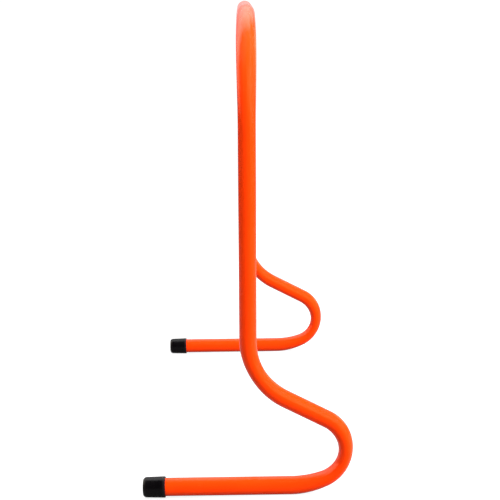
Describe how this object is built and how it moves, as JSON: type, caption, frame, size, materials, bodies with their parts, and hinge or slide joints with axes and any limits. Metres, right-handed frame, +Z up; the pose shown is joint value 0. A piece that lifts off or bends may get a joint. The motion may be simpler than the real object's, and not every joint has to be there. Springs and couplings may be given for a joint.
{
  "type": "speed hurdle",
  "caption": "Low training hurdle bent from a single plastic tube: hairpin feet, upright legs and a crossbar to step or jump over, with push-on caps on the foot ends.",
  "frame": {"origin": "on the floor, at the middle of the hurdle's length and depth", "axes": "+X along the crossbar, +Y from the capped foot ends towards the loops, +Z up"},
  "size_m": [0.4826, 0.2001, 0.457],
  "materials": {
    "orange_pvc": "satin gloss extruded tube, through-coloured orange",
    "black_vinyl": "soft dip-moulded vinyl, satin black"
  },
  "bodies": {
    "frame": {"frame_tube": "orange_pvc"},
    "left_cap": {"left_end_cap": "black_vinyl"},
    "right_cap": {"right_end_cap": "black_vinyl"}
  },
  "joints": [
    {"name": "left_cap_pull", "type": "slide", "parent": "frame", "child": "left_cap", "axis": [0, -0.9999, 0.0122], "range_m": [0, 0.03]},
    {"name": "right_cap_pull", "type": "slide", "parent": "frame", "child": "right_cap", "axis": [0, -0.9999, 0.0122], "range_m": [0, 0.03]}
  ]
}
